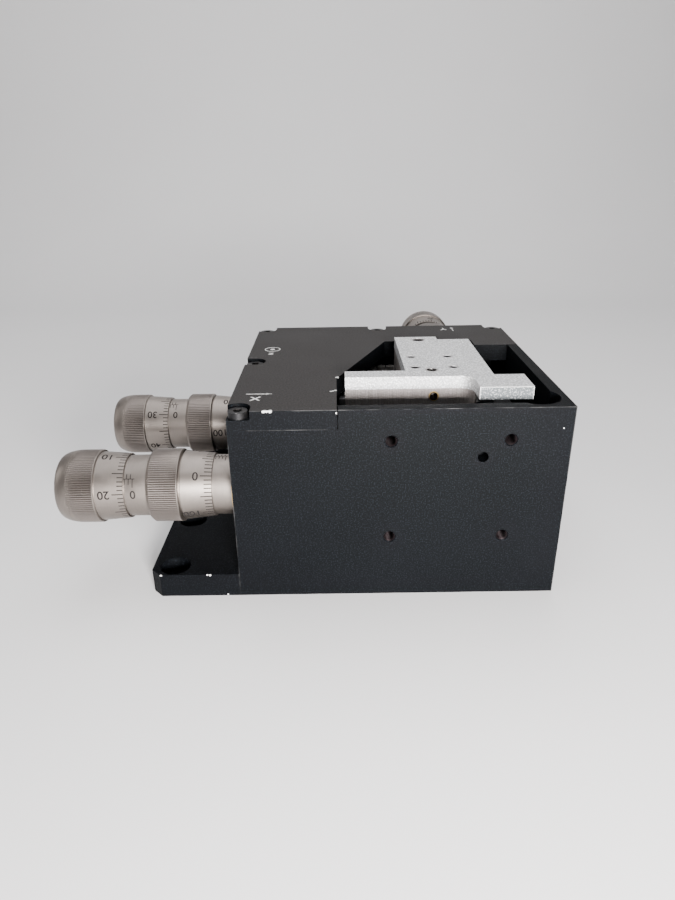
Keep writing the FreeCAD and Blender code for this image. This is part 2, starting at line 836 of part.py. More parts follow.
def build_platform():
    deck = plate(
        [
            ("arm_left", "recess_front"),
            ("recess_end", "recess_front"),
            ("recess_end", "arm_front"),
            ("arm_right", "arm_front"),
            ("arm_right", "arm_back"),
            ("stem_right", "arm_back"),
            ("stem_right", "stem_back_right"),
            ("stem_step", "stem_back_right"),
            ("stem_step", "stem_back"),
            ("stem_left", "stem_back"),
            ("stem_left", "recess_back"),
            ("arm_left", "recess_back"),
        ],
        "plate_low",
        "plate_thickness",
    )
    bar = plate(
        [
            ("arm_left", "recess_front"),
            ("recess_end", "recess_front"),
            ("recess_end", "recess_front - recess_radius - 0.2"),
            ("recess_end + horn", "recess_front - recess_radius - 0.2"),
            ("recess_end + horn", "recess_back"),
            ("web_right", "recess_back"),
            ("web_right", "stem_back - 1"),
            ("stem_left", "stem_back - 1"),
            ("stem_left", "recess_back"),
            ("arm_left", "recess_back"),
        ],
        "bar_low",
        "bar_depth - plate_thickness",
    )
    rounded(deck, "recess_radius", in_recess_corner)
    rounded(bar, "recess_radius", in_recess_corner)
    foot = block(("stem_left", "frame_back + 1", "arm_high"), ("web_right", "stem_back - 1", "bar_low + 1"))
    tools = []
    for x in (-0.5, 0.5):
        for y in (-0.5, 0.5):
            at = (f"deck_hole_x + ({x}) * deck_hole_pitch", f"deck_hole_y + ({y}) * deck_hole_pitch")
            tools += threaded((*at, "deck_height"), "-Z", "deck_hole_radius", "plate_thickness")
    tools += threaded(("centre_line", "stem_back - 3.6", "deck_height"), "-Z", "centre_hole_radius", "6")
    for at, direction, radius in INSERTS:
        tools.append(rod(along(at, direction, "-1"), direction, radius, "1 + insert_length"))
    for y in RISER_SCREWS:
        tools.append(rod(("frame_middle", y, "bar_low - 1"), "+Z", "screw_radius + thread_play", "5.5"))
    for x in FOOT_HOLES:
        start = (x, "lift_front - 1", "arm_high - 1")
        tools.append(rod(start, "+Z", "small_screw_radius + thread_play", "4"))
    node("platform", cut(joined(deck, bar, foot), *tools))
    inserts = [
        cut(
            rod(at, direction, radius, "insert_length"),
            rod(along(at, direction, "-1"), direction, f"{radius} - insert_wall", "insert_length + 2"),
        )
        for at, direction, radius in INSERTS
    ]
    node("thread_inserts", group(*inserts))


INSERTS = [
    (("centre_line", "recess_back + 0.6", "deck_height"), "-Z", "centre_hole_radius"),
    (("centre_line", "recess_front", "bar_low + 3.3"), "+Y", "front_insert_radius"),
]
RISER_SCREWS = ("riser_front + 5", "riser_back - 5")
FOOT_HOLES = ("stem_left + 2.5", "web_right - 2.5")
STRIP_SCREWS = [f"lift_x + 5.2 + {i} * 3.2" for i in range(3)]


def threaded(at, direction, radius, depth):
    """The tools that make a tapped hole with a small chamfer at its mouth."""
    mouth = doc.addObject("Part::Cone", "Chamfer")
    bind(mouth, "Radius1", f"{radius} + 2 * hole_chamfer")
    bind(mouth, "Radius2", radius)
    bind(mouth, "Height", "2 * hole_chamfer")
    move(mouth, along(at, direction, "-hole_chamfer"), direction)
    return [rod(along(at, direction, "-1"), direction, radius, f"1 + {depth}"), mouth]


def build_riser():
    column = block(("riser_left", "riser_front", "y_low"), ("riser_right", "riser_back", "y_high"))
    neck = block(
        ("stem_left", "riser_front", "y_high - 1"), ("web_right - 0.2", "riser_back", "bar_low")
    )
    tools = list(clamped["platform"]["holes"])
    bore = "screw_head_height + 0.4"
    for y in RISER_SCREWS:
        at = ("frame_middle", y, "y_low - 1")
        tools.append(rod(at, "+Z", "screw_head_radius + hole_play", f"1 + {bore}"))
        tools.append(rod(at, "+Z", "screw_radius + hole_play", "bar_low - y_low + 2"))
    node("riser", cut(joined(column, neck), *tools))
    length = f"bar_low - y_low - ({bore}) + 4"
    screws = [screw(("frame_middle", y, f"y_low + {bore}"), "+Z", length=length) for y in RISER_SCREWS]
    node("riser_screws", group(*screws))


def build_lift_arm():
    left, right = "lift_x - lift_half", "lift_x + lift_half"
    back = "drive_z_y + 5"
    rail = block((left, "lift_front", "arm_low"), ("web_right", "lift_front + 4", "arm_high"))
    wing = block((left, "lift_front", "arm_low"), (right, back, "arm_high"))
    root = block(("stem_left", "frame_back + 1", "arm_low"), ("web_right", "lift_front + 1", "arm_high"))
    tools = []
    screws = clamped["platform"]["screws"]
    for x in FOOT_HOLES:
        tools.append(rod((x, "lift_front - 1", "arm_low - 1"), "+Z", "small_screw_radius + hole_play", "5"))
        screws.append(screw((x, "lift_front - 1", "arm_low"), "+Z", "small_screw"))
    strip = joined(
        block((left, "lift_front + 0.3", "strip_low"), ("stem_left - 0.6", "lift_front + 3.7", "arm_low")),
        block((left, "lift_front + 0.3", "strip_low"), (right, back, "arm_low")),
    )
    strip_tools = []
    for x in STRIP_SCREWS:
        at = (x, "lift_front + 2", "arm_high + 1")
        tools.append(rod(at, "-Z", "small_screw_radius + hole_play", "lift_arm_thickness + 1.5"))
        strip_tools.append(rod(at, "-Z", "small_screw_radius + thread_play", "6"))
        length = "lift_arm_thickness + strip_thickness"
        screws.append(screw((x, "lift_front + 2", "arm_high"), "-Z", "small_screw", length))
    node("lift_arm", cut(joined(rail, wing, root), *tools))
    node("lift_strip", cut(strip, *strip_tools))
    hold("platform", "riser_bars", "platform_small_screws")


# Z lever ---------------------------------------------------------------------------


def build_lever():
    back = "lever_front + lever_width"
    leg = block(
        ("lever_pivot_x - lever_leg / 2", "lever_front", "drive_z_z - spindle_radius - 1"),
        ("lever_pivot_x + lever_leg / 2", back, "pivot_z"),
    )
    beam = block(
        ("lever_pivot_x", "lever_front", "pivot_z - lift_dowel_radius - 1.4"),
        ("lift_x + lift_dowel_radius + 1.4", back, "pivot_z + 1"),
    )
    hub = rod(("lever_pivot_x", "lever_front", "pivot_z"), "+Y", "lever_hub_radius", "lever_width")
    pivot_bore = rod(
        ("lever_pivot_x", "lever_front - 1", "pivot_z"),
        "+Y",
        "pivot_radius + running_play",
        "lever_width + 2",
    )
    seat = rod(("lift_x", "lever_front - 1", "pivot_z"), "+Y", "lift_dowel_radius", "lever_width + 2")
    node("z_lever", cut(joined(leg, beam, hub), pivot_bore, seat))
    node("lift_dowel", rod(("lift_x", "lever_front", "pivot_z"), "+Y", "lift_dowel_radius", "lever_width"))
    outer_front = "lever_front - cheek_gap - cheek"
    outer_back = f"{back} + cheek_gap + cheek"
    web = block(
        ("left_wall", outer_front, "pivot_z - lever_hub_radius"),
        ("left_wall + bracket_plate", outer_back, "pivot_z + lever_hub_radius"),
    )
    cheeks = [
        block(
            ("left_wall", front, "pivot_z - lever_hub_radius"),
            ("lever_pivot_x + pivot_radius + 1.5", f"{front} + cheek", "pivot_z + lever_hub_radius"),
        )
        for front in (outer_front, f"{back} + cheek_gap")
    ]
    pin = ("lever_pivot_x", outer_front, "pivot_z")
    length = f"({outer_back}) - ({outer_front})"
    tools = [rod(pin, "+Y", "pivot_radius", length)]
    for z in BRACKET_SCREWS:
        at = ("left_wall + bracket_plate + 1", "drive_z_y", z)
        tools.append(rod(at, "-X", "small_screw_radius + hole_play", "bracket_plate + 2"))
    node("lever_bracket", cut(joined(web, *cheeks), *tools))
    node("lever_pivot_pin", rod(pin, "+Y", "pivot_radius", length))
    screws = [
        screw(("left_wall + bracket_plate", "drive_z_y", z), "-X", "small_screw", "bracket_screw_length")
        for z in BRACKET_SCREWS
    ]
    node("bracket_screws", group(*screws))


# Micrometer drives --------------------------------------------------------------------


def build_drive(name, wall_point, outward, wall, reach):
    """One differential drive; distances along it start at the wall's outer face."""
    bore = "spindle_radius + running_play"
    shank_end = f"-({wall} + nut_thickness + 0.6)"
    sleeve_end = "thimble_start + thimble_scale_length + 8.3"
    step = "thimble_start + thimble_scale_length - 1.2"
    sleeve = [
        (bore, shank_end),
        ("shank_radius", shank_end),
        ("shank_radius", "washer_thickness"),
        ("sleeve_radius", "washer_thickness"),
        ("sleeve_radius", step),
        ("sleeve_neck_radius", step),
        ("sleeve_neck_radius", sleeve_end),
        ("sleeve_bore_radius", sleeve_end),
        ("sleeve_bore_radius", "washer_thickness + 1.5"),
        (bore, "washer_thickness + 1.5"),
    ]
    node(f"{name}_sleeve", turned(sleeve, wall_point, outward))
    washer = [
        ("shank_radius + thread_play", "0"),
        ("sleeve_radius + 0.3", "0"),
        ("sleeve_radius + 0.3", "washer_thickness"),
        ("shank_radius + thread_play", "washer_thickness"),
    ]
    node(f"{name}_washer", turned(washer, wall_point, outward))
    inward = OPPOSITE[outward]
    nut = doc.addObject("Part::Prism", "Nut")
    nut.Polygon = 6
    bind(nut, "Circumradius", "nut_radius")
    bind(nut, "Height", "nut_thickness")
    inner_face = along(wall_point, inward, wall)
    move(nut, inner_face, inward)
    start = along(wall_point, inward, f"{wall} - 1")
    hole = rod(start, inward, "shank_radius + thread_play", "nut_thickness + 2")
    node(f"{name}_lock_nut", cut(nut, hole))
    bush = [
        ("spindle_radius + turning_play", "bush_start"),
        ("sleeve_bore_radius - turning_play", "bush_start"),
        ("sleeve_bore_radius - turning_play", "bush_start + bush_length"),
        ("spindle_radius + turning_play", "bush_start + bush_length"),
    ]
    node(f"{name}_guide_bush", turned(bush, wall_point, outward))

    scale_end = "thimble_start + thimble_scale_length"
    knurl_start = f"{scale_end} + groove_width"
    knurl_end = f"{knurl_start} + coarse_knurl_length"
    fine_end = f"{knurl_end} + fine_sleeve_length"
    neck_start = f"{scale_end} + 1.3"
    web_start = f"{knurl_end} + 1.2"
    coarse = [
        ("sleeve_radius + turning_play", "thimble_start"),
        ("thimble_edge_radius", "thimble_start"),
        ("thimble_scale_radius", scale_end),
        ("groove_radius", scale_end),
        ("groove_radius", knurl_start),
        ("knurl_radius", knurl_start),
        ("knurl_radius", f"{knurl_end} - knurl_chamfer"),
        ("knurl_radius - knurl_chamfer", knurl_end),
        ("fine_sleeve_radius", knurl_end),
        ("fine_sleeve_radius", fine_end),
        ("fine_sleeve_bore", fine_end),
        ("fine_sleeve_bore", f"{web_start} + web_thickness"),
        ("spindle_radius + hole_play", f"{web_start} + web_thickness"),
        ("spindle_radius + hole_play", web_start),
        ("sleeve_neck_radius + hole_play", web_start),
        ("sleeve_neck_radius + hole_play", neck_start),
        ("sleeve_radius + turning_play", neck_start),
    ]
    node(f"{name}_coarse_thimble", turned(coarse, wall_point, outward))
    ring_start = f"{web_start} + web_thickness + 2"
    ring = [
        ("fine_screw_radius + turning_play", ring_start),
        ("fine_sleeve_bore - turning_play", ring_start),
        ("fine_sleeve_bore - turning_play", f"{ring_start} + ring_length"),
        ("fine_screw_radius + turning_play", f"{ring_start} + ring_length"),
    ]
    node(f"{name}_drag_ring", turned(ring, wall_point, outward))

    fine_scale_end = "fine_start + fine_scale_length"
    thimble_end = f"{fine_scale_end} + fine_knurl_length"
    floor = f"{fine_end} + 2"
    fine = [
        ("fine_sleeve_radius + turning_play", "fine_start"),
        ("fine_edge_radius", "fine_start"),
        ("fine_scale_radius", fine_scale_end),
        ("knurl_radius", fine_scale_end),
        ("knurl_radius", thimble_end),
        ("0", thimble_end),
        ("0", f"{thimble_end} - end_wall"),
        ("spindle_radius + turning_play", f"{thimble_end} - end_wall"),
        ("spindle_radius + turning_play", f"{ring_start} - 0.3"),
        ("fine_screw_radius", f"{ring_start} - 0.3"),
        ("fine_screw_radius", floor),
        ("fine_sleeve_radius + turning_play", floor),
    ]
    end = number(thimble_end)
    thimble = turned(fine, ("0", "0", "0"), "+Z")

    def at_the_end(edge):
        circle = edge.Curve
        flat = isinstance(circle, Part.Circle) and abs(circle.Center.z - end) < 0.01
        return flat and abs(circle.Radius - number("knurl_radius")) < 0.01

    rounded(thimble, "dome_radius", at_the_end)
    node(f"{name}_fine_thimble", move(thimble, wall_point, outward))

    ball_centre = along(wall_point, inward, f"{reach} - spindle_radius")
    ball = doc.addObject("Part::Sphere", "Ball")
    bind(ball, "Radius", "spindle_radius")
    move(ball, ball_centre)
    length = f"{reach} - spindle_radius + {fine_end} + spindle_tail"
    node(f"{name}_spindle", joined(rod(ball_centre, outward, "spindle_radius", length), ball))


# Everything -----------------------------------------------------------------------------

build_housing()
build_cover()
build_x_leaves()
build_y_leaves()
build_z_leaves()
build_base()
build_x_carriage()
build_y_carriage()
build_platform()
build_riser()
build_lift_arm()
build_lever()
for name, drive in DRIVES.items():
    build_drive(name, *drive)
doc.recompute()

failed = [one.Label for one in doc.Objects if "Invalid" in one.State or "Error" in one.State]
if failed:
    raise RuntimeError(f"these objects failed: {failed}")
for name, thing in NODES.items():
    if thing.Shape.isNull() or not thing.Shape.isValid():
        raise RuntimeError(f"{name} has no valid shape")
os.makedirs("parts", exist_ok=True)
for name, thing in NODES.items():
    thing.Shape.exportStep(f"parts/{name}.step")
print(len(NODES), "nodes")
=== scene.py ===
import json
import math

import bmesh
import bpy
from mathutils import Matrix, Vector


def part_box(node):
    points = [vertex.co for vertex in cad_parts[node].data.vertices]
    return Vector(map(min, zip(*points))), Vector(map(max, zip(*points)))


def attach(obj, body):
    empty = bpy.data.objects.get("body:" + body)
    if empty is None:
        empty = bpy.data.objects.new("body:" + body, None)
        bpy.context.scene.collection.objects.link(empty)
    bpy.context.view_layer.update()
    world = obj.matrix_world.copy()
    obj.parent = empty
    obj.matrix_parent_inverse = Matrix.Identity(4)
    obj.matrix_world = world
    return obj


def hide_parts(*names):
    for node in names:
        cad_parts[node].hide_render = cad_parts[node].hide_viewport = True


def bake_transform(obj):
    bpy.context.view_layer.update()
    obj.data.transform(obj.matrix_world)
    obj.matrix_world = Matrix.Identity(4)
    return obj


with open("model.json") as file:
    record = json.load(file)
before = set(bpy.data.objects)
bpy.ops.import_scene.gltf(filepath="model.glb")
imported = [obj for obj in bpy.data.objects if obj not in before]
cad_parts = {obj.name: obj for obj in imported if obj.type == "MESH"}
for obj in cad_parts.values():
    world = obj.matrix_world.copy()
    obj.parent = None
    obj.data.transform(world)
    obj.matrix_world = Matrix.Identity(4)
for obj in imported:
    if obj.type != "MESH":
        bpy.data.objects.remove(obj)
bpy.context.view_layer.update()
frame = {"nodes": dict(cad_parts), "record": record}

MM = 0.001
TURN = 2 * math.pi


def across(node):
    """A node's lowest and highest corners at rest, in millimetres."""
    return [Vector(corner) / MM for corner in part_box(node)]


COVER = across("top_cover")
HOUSING = across("housing")
PLATFORM = across("platform")
BASE = across("base_plate")


# Shader maths --------------------------------------------------------------------------


class Wire:
    """A socket that reads like a number: arithmetic on it adds Math nodes."""

    def __init__(self, finish, socket):
        self.finish = finish
        self.socket = socket

    def maths(self, operation, *values):
        return self.finish.add("ShaderNodeMath", {"operation": operation}, dict(enumerate(values)))

    def __add__(self, other):
        return self.maths("ADD", self, other)

    def __sub__(self, other):
        return self.maths("SUBTRACT", self, other)

    def __rsub__(self, other):
        return self.maths("SUBTRACT", other, self)

    def __mul__(self, other):
        return self.maths("MULTIPLY", self, other)

    def __abs__(self):
        return self.maths("ABSOLUTE", self)

    __radd__ = __add__
    __rmul__ = __mul__

    def least(self, other):
        return self.maths("MINIMUM", self, other)

    def most(self, other):
        return self.maths("MAXIMUM", self, other)

    def rise(self, low, high):
        """Zero below low, one above high, and smooth between them."""
        settings = {"interpolation_type": "SMOOTHSTEP", "clamp": True}
        return self.finish.add("ShaderNodeMapRange", settings, {0: self, 1: low, 2: high})


def colour(value):
    return value if isinstance(value, Wire) else (*value, 1.0)


class Finish:
    """A material being made: a Principled shader and the nodes that feed it."""

    def __init__(self, name):
        self.material = bpy.data.materials.new(name)
        self.material.use_nodes = True
        self.tree = self.material.node_tree
        self.tree.nodes.clear()
        place = self.add("ShaderNodeTexCoord", {}, {}, "Object")
        self.place = self.add("ShaderNodeVectorMath", {"operation": "SCALE"}, {0: place, "Scale": 1 / MM})
        self.axes = [self.add("ShaderNodeSeparateXYZ", {}, {0: self.place}, axis) for axis in "XYZ"]

    def add(self, kind, settings, sockets, out=None):
        """Adds one node: its settings first, then its sockets' values or links."""
        node = self.tree.nodes.new(kind)
        for name, value in settings.items():
            setattr(node, name, value)
        for name, value in sockets.items():
            if isinstance(value, Wire):
                self.tree.links.new(value.socket, node.inputs[name])
            else:
                node.inputs[name].default_value = value
        if out is None:
            out = next((number for number, socket in enumerate(node.outputs) if socket.enabled), None)
        return None if out is None else Wire(self, node.outputs[out])

    def mix(self, share, plain, over):
        settings = {"data_type": "RGBA", "clamp_factor": True}
        return self.add("ShaderNodeMix", settings, {0: share, 6: colour(plain), 7: colour(over)})

    def noise(self, fineness, detail=2.0, stretch=(1, 1, 1)):
        """Noise with about so many lumps to the millimetre."""
        place = self.add("ShaderNodeVectorMath", {"operation": "MULTIPLY"}, {0: self.place, 1: stretch})
        return self.add("ShaderNodeTexNoise", {}, {"Vector": place, "Scale": fineness, "Detail": detail})

    def near(self, point, reach, wobble):
        """One close to a point in millimetres, with a torn outline."""
        settings = {"operation": "DISTANCE"}
        apart = self.add("ShaderNodeVectorMath", settings, {0: self.place, 1: point}, "Value")
        return 1 - (apart + (wobble - 0.5) * reach * 2.0).rise(reach * 0.8, reach)

    def off_axis(self, pair, centre):
        """Distance in millimetres from a line that runs along the third axis."""
        first, second = (self.axes["XYZ".index(axis)] - at for axis, at in zip(pair, centre))
        squared = first * first + second * second
        return squared.maths("POWER", squared, 0.5)

    def edge(self, low, high):
        """Distance along a box's faces to its nearest edge, in millimetres."""
        gaps = [abs(axis - lo).least(abs(axis - hi)) for axis, lo, hi in zip(self.axes, low, high)]
        least = gaps[0].least(gaps[1]).least(gaps[2])
        most = gaps[0].most(gaps[1]).most(gaps[2])
        return gaps[0] + gaps[1] + gaps[2] - least - most

    def bump(self, height, depth, strength=1.0):
        """A normal raised by height, which runs from 0 to 1 over so many millimetres."""
        sockets = {"Height": height, "Distance": depth * MM, "Strength": strength}
        return self.add("ShaderNodeBump", {}, sockets)

    def done(self, base, roughness, normal, metallic, specular=0.5):
        sockets = {
            "Base Color": colour(base),
            "Roughness": roughness,
            "Normal": normal,
            "Metallic": metallic,
            "Specular IOR Level": specular,
        }
        shader = self.add("ShaderNodeBsdfPrincipled", {}, sockets)
        self.add("ShaderNodeOutputMaterial", {}, {"Surface": shader})
        return self.material


# Finishes ------------------------------------------------------------------------------

BARE = (0.82, 0.82, 0.8)
WORN_THROUGH = 0.02
PLATE = 3.8
RECESS_END = 70.7
ARM_FRONT = 10.0
FRONT_INSERT = Vector((59.3, 20.5, 56.3))
MOUNTS = {mount["name"]: mount for mount in frame["record"]["mounts"]}


def pattern(mount):
    """The centres of a stated hole pattern, in millimetres."""
    place = Vector(mount["pos_m"]) / MM
    across_axes = [axis for axis in range(3) if abs(mount["axis"][axis]) < 0.5]
    spacing = [mount["dims"].get("spacing_x_mm", 0), mount["dims"].get("spacing_y_mm", 0)]
    for first in (-0.5, 0.5):
        for second in (-0.5, 0.5):
            hole = place.copy()
            hole[across_axes[0]] += first * spacing[0]
            hole[across_axes[1]] += second * spacing[1]
            yield hole


DECK_HOLES = MOUNTS["deck_holes"]
REAR_HOLE = Vector(MOUNTS["deck_rear_thread"]["pos_m"]) / MM
TAPPED = [(hole.xy, DECK_HOLES["dims"]["hole_r_mm"]) for hole in pattern(DECK_HOLES)]
TAPPED.append((REAR_HOLE.xy, MOUNTS["deck_rear_thread"]["dims"]["r_mm"]))


def ring_of(out, radius, width):
    """One on a ring of a radius, fading to nothing over its width."""
    return 1 - abs(out - radius).rise(width * 0.3, width)


def black_anodised(name, low, high, chips, tint=(0.0014, 0.0017, 0.0022), top=None):
    """Bead-blasted aluminium with black dye: fine grain, speckle with painted glints, rubbed edges and
    chips, and a painted reflection on the top face where a top tint is given.
    """
    finish = Finish(name)
    grain = finish.noise(1.9, 3.0)
    specks_and_glints = finish.noise(2.6, 2.0).rise(0.5, 0.72)
    clouds = finish.noise(0.035, 3.0)
    wobble = finish.noise(0.9, 3.0)
    rubbed = (1 - finish.edge(low, high).rise(0.05, 0.32)) * finish.noise(0.12, 4.0).rise(0.42, 0.66)
    bare = rubbed * WORN_THROUGH
    for point, reach in chips:
        bare = bare.most(finish.near(point, reach, wobble))
    dye_and_painted_light = finish.mix(clouds.rise(0.3, 0.7), tint, [part * 1.35 for part in tint])
    # Where a top tint is given, the top face takes it, lighter and warm: a painted reflection of the
    # bright room.
    if top:
        painted_top_reflection = finish.mix(clouds.rise(0.3, 0.7), top, [part * 1.2 for part in top])
        dye_and_painted_light = finish.mix(finish.axes[2].rise(high.z - 0.03, high.z - 0.01), dye_and_painted_light, painted_top_reflection)
    dye_and_painted_light = finish.mix(grain.rise(0.35, 0.75) * 0.5, dye_and_painted_light, [part * 2.1 for part in tint])
    # The specks are bumps and smoother spots; their lighter bluish colour here is a painted glint.
    dye_and_painted_light = finish.mix(specks_and_glints * 0.32, dye_and_painted_light, (0.024, 0.029, 0.036))
    dye_and_painted_light = finish.mix(rubbed * 0.4, dye_and_painted_light, (0.07, 0.07, 0.07))
    base = finish.mix(bare, dye_and_painted_light, BARE)
    roughness = 0.5 + clouds.rise(0.3, 0.7) * 0.08 - specks_and_glints * 0.1 - rubbed * 0.1
    normal = finish.bump(grain + specks_and_glints * 0.5, 0.02, 0.5)
    return finish.done(base, roughness, normal, rubbed * 0.4, 0.05)


def clear_anodised(name, low, high, tint=(0.62, 0.625, 0.63)):
    """Bead-blasted aluminium with a clear coat of oxide: pale and frosty, glinting in its grain."""
    finish = Finish(name)
    grain = finish.noise(1.5, 3.0)
    glints = finish.noise(1.9, 1.0).rise(0.52, 0.64)
    clouds = finish.noise(0.06, 3.0)
    edge = 1 - finish.edge(low, high).rise(0.08, 0.3)
    dull = finish.mix(clouds.rise(0.3, 0.7), tint, [part * 0.9 for part in tint])
    dull = finish.mix(grain.rise(0.4, 0.6) * 0.6, dull, [part * 0.55 for part in tint])
    blasted = finish.mix(glints * 0.85, dull, (0.96, 0.97, 0.98))
    streaks = finish.noise(1.4, 3.0, (2.2, 2.2, 0.12))
    milled = finish.mix(streaks.rise(0.3, 0.7), (0.18, 0.156, 0.147), (0.28, 0.246, 0.232))
    below_plate = 1 - finish.axes[2].rise(high.z - PLATE - 0.06, high.z - PLATE + 0.06)
    base = finish.mix(below_plate * 0.9, blasted, milled)
    # Painted shade: past the recess, the right arm's front face is painted dark bluish grey for the dim
    # reflection it shows, with some glints kept.
    past_recess = finish.axes[0].rise(RECESS_END, RECESS_END + 0.4)
    arm_front_shade = past_recess * (1 - finish.axes[1].rise(ARM_FRONT + 0.02, ARM_FRONT + 0.1))
    base = finish.mix(arm_front_shade * (0.92 - glints * 0.3), base, (0.06, 0.072, 0.078))
    # Painted shade: inside each tapped hole, below the deck, the colour is near black; a darker ring also
    # lies round each hole's mouth.
    below_deck = 1 - finish.axes[2].rise(high.z - 0.5, high.z - 0.1)
    for centre, radius in TAPPED:
        out = finish.off_axis("XY", centre)
        hole = (1 - out.rise(radius + 0.1, radius + 0.14)) * below_deck
        base = finish.mix(hole, base, (0.03, 0.024, 0.022))
        base = finish.mix(ring_of(out, radius + 0.3, 0.3) * 0.5, base, (0.2, 0.18, 0.17))
    base = finish.mix(edge * 0.5, base, (0.92, 0.92, 0.9))
    roughness = 0.46 - glints * 0.16 + clouds.rise(0.3, 0.7) * 0.06
    return finish.done(base, roughness, finish.bump(grain + glints * 0.4, 0.05, 1.0), 0.35)


def turned_steel(name, axis, tint=(0.25, 0.222, 0.2)):
    """Satin steel turned about one axis, with fine tool rings, haze and finger marks."""
    finish = Finish(name)
    stretch = [8.0 if axis == one else 0.12 for one in "XYZ"]
    rings = finish.noise(1.6, 3.0, stretch)
    haze = finish.noise(0.12, 4.0)
    spots = finish.noise(1.1, 2.0).rise(0.68, 0.76)
    base = finish.mix(haze.rise(0.35, 0.65) * 0.6, tint, [part * 0.82 for part in tint])
    base = finish.mix(rings.rise(0.35, 0.7) * 0.35, base, [part * 1.18 for part in tint])
    base = finish.mix(spots * 0.35, base, (0.3, 0.26, 0.22))
    roughness = 0.35 + haze.rise(0.35, 0.65) * 0.1 + rings * 0.06
    return finish.done(base, roughness, finish.bump(rings, 0.006, 0.7), 1.0)


def metal(name, tint, shine, fineness, stretch=(1, 1, 1), dirt=(0.1, 0.08, 0.06), metallic=1.0):
    """A plain machined or drawn metal with grain and dulled patches."""
    finish = Finish(name)
    grain = finish.noise(fineness, 4.0, stretch)
    patches = finish.noise(0.25, 3.0).rise(0.45, 0.7)
    base = finish.mix(grain.rise(0.3, 0.7) * 0.4, tint, [part * 0.8 for part in tint])
    base = finish.mix(patches * 0.25, base, dirt)
    roughness = shine + patches * 0.15 + grain * 0.08
    return finish.done(base, roughness, finish.bump(grain, 0.008, 0.6), metallic)


def paint(name, tint, shine, worn, under):
    """Paint or ink in an engraved line, thin and a little broken."""
    finish = Finish(name)
    broken = finish.noise(3.0, 3.0).rise(0.58, 0.7)
    shade = finish.noise(0.5, 2.0)
    base = finish.mix(shade, tint, [part * 0.75 for part in tint])
    base = finish.mix(broken * worn, base, under)
    return finish.done(base, shine + shade * 0.2, finish.bump(shade, 0.01, 0.4), 0.0)


def insert_metal(name):
    """Steel for the insert in the deck and brass for the one in the front, with painted shade in the front
    one's bore.
    """
    finish = Finish(name)
    grain = finish.noise(2.5, 3.0)
    steel = finish.axes[2].rise(PLATFORM[1].z - 4.3, PLATFORM[1].z - 4.2)
    base = finish.mix(steel, (0.5, 0.36, 0.17), (0.5, 0.49, 0.48))
    # Painted shade: the front insert's bore is painted near black.
    bore_shade = 1 - finish.off_axis("XZ", FRONT_INSERT.xz).rise(1.18, 1.26)
    base = finish.mix(bore_shade * (1 - steel), base, (0.02, 0.016, 0.012))
    base = finish.mix(grain.rise(0.4, 0.7) * 0.4, base, (0.12, 0.1, 0.08))
    return finish.done(base, 0.3 + grain * 0.15, finish.bump(grain, 0.01, 0.5), 1.0)


CHIPS_ON_COVER = [
    ((11.3, 0.0, 59.9), 0.5),
    ((12.2, 0.2, 60.0), 0.6),
    ((10.5, 0.1, 60.0), 0.6),
    ((30.2, 0.0, 59.1), 0.35),
    ((30.2, 28.6, 60.0), 0.5),
    ((30.7, 28.9, 60.0), 0.4),
    ((28.6, 15.5, 60.0), 0.35),
    ((29.2, 15.8, 60.0), 0.4),
    ((29.9, 16.3, 60.0), 0.4),
]
CHIPS_ON_HOUSING = [
    ((92.1, 0.0, 53.8), 0.24),
    ((-8.8, 0.0, 7.4), 0.35),
    ((-9.6, 0.0, 7.6), 0.3),
    ((-3.9, 0.0, 0.4), 0.25),
    ((-23.6, 0.0, 7.5), 0.35),
    ((0.0, 6.0, 22.0), 0.4),
    ((0.0, 5.0, 20.6), 0.35),
]
BLOCK = [Vector((0, HOUSING[0].y, HOUSING[0].z)), Vector((HOUSING[1].x, HOUSING[1].y, COVER[1].z))]

FINISHES = {
    "housing": black_anodised("housing_black", *BLOCK, CHIPS_ON_HOUSING),
    # The cover's top tint is a painted reflection.
    "top_cover": black_anodised("cover_black", *COVER, CHIPS_ON_COVER, top=(0.036, 0.0333, 0.032)),
    "base_plate": black_anodised("base_black", *BASE, []),
    "platform": clear_anodised("platform_clear", *PLATFORM),
    "thread_inserts": insert_metal("insert_metal"),
}
BY_SLOT = {
    "black_anodised": black_anodised("inner_black", *BLOCK, [], (0.0035, 0.0035, 0.004)),
    "clear_anodised": FINISHES["platform"],
    "micrometer_steel": turned_steel("drive_steel_x", "X"),
    "satin_steel": metal("ground_steel", (0.42, 0.42, 0.43), 0.34, 2.0, (0.2, 3.0, 1.0)),
    "hardened_steel": metal("polished_steel", (0.66, 0.66, 0.68), 0.16, 2.5),
    "spring_steel": metal("spring_steel", (0.46, 0.46, 0.47), 0.26, 2.0, (0.3, 0.3, 3.0)),
    "black_screws": metal(
        "black_oxide", (0.012, 0.012, 0.013), 0.38, 2.4, dirt=(0.09, 0.08, 0.07), metallic=0.7
    ),
    "bright_screws": metal("bright_steel", (0.6, 0.58, 0.55), 0.3, 2.4),
    "brass": metal("turned_brass", (0.62, 0.44, 0.2), 0.3, 2.0, dirt=(0.2, 0.13, 0.06)),
}
DRIVE_STEEL = {
    "x": BY_SLOT["micrometer_steel"],
    "y": turned_steel("drive_steel_y", "Y"),
    "z": turned_steel("drive_steel_z", "X"),
}
# A darker copy of the drive steel for the knurled faces: painted shade between the knurl's teeth.
KNURL_SHADED = {
    name: turned_steel(f"knurled_steel_{name}", axis, (0.23, 0.204, 0.187))
    for name, axis in (("x", "X"), ("y", "Y"), ("z", "X"))
}
DARK_INK = paint("dark_ink", (0.006, 0.004, 0.0035), 0.9, 0.05, (0.1, 0.08, 0.07))
WHITE_PAINT = paint("white_paint", (0.8, 0.8, 0.78), 0.6, 0.35, (0.2, 0.2, 0.2))
